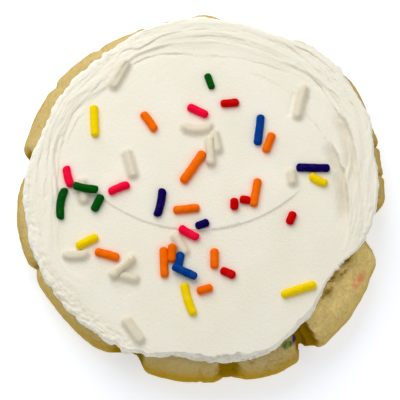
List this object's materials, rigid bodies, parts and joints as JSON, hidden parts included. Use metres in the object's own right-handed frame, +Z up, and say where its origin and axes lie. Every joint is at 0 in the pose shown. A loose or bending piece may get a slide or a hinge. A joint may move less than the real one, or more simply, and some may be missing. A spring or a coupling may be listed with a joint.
{
  "type": "birthday cake cookie",
  "caption": "Thick round sugar cookie with split sides, topped with a spread layer of icing and scattered sugar sprinkles; it rests flat on its base.",
  "frame": {"origin": "middle of the bounding box's foot, on the surface that the cookie rests on", "axes": "+Z up through the thickness; -Y towards the side with the broad broken shoulder, +X to the right as seen from there"},
  "size_m": [0.0904, 0.0919, 0.0212],
  "materials": {
    "cookie": "pale golden baked dough, dry and finely crumbed",
    "icing": "ivory buttercream, soft satin, knife-spread",
    "sprinkle_pink": "pink sugar sprinkle, satin",
    "sprinkle_red": "red sugar sprinkle, satin",
    "sprinkle_orange": "orange sugar sprinkle, satin",
    "sprinkle_yellow": "yellow sugar sprinkle, satin",
    "sprinkle_green": "green sugar sprinkle, satin",
    "sprinkle_blue": "blue sugar sprinkle, satin",
    "sprinkle_purple": "deep purple sugar sprinkle, satin",
    "sprinkle_white": "off-white sugar sprinkle, satin"
  },
  "bodies": {
    "root": {"cookie": "cookie", "icing": "icing"}
  },
  "joints": []
}
